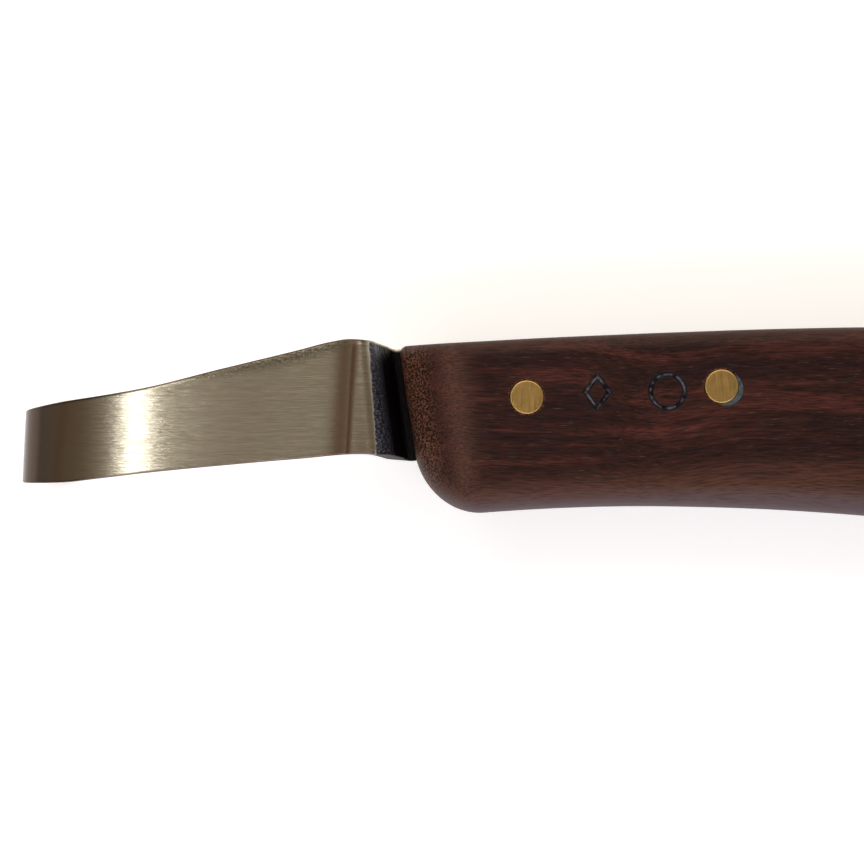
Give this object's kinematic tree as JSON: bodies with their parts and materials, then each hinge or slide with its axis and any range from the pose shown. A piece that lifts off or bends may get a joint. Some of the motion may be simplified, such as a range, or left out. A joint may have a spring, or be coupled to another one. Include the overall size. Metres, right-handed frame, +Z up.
{
  "type": "hook knife",
  "caption": "Open hook knife: a forged steel strip joggles out of a slotted wooden handle, arches forward and curls into a hook; held by flush brass pins.",
  "frame": {"origin": "on the flat side of the handle that the knife lies on, midway between the two pins", "axes": "+X from the hook to the butt of the handle, +Y from the cutting edge to the back, +Z up from the resting side, through the thickness of the handle"},
  "size_m": [0.1755, 0.0297, 0.0195],
  "materials": {
    "steel": "belt-ground satin along the strip, black forge scale left on the joggle",
    "wood": "dark red-brown hardwood, sanded and oiled, open pores at the nose",
    "brass": "ground flush and brushed",
    "filler": "set epoxy filler, dull blue grey"
  },
  "bodies": {
    "root": {"blade": "steel", "handle": "wood", "pin_front": "brass", "pin_rear": "brass", "rear_filler": "filler", "slot_filler": "filler"}
  },
  "joints": []
}
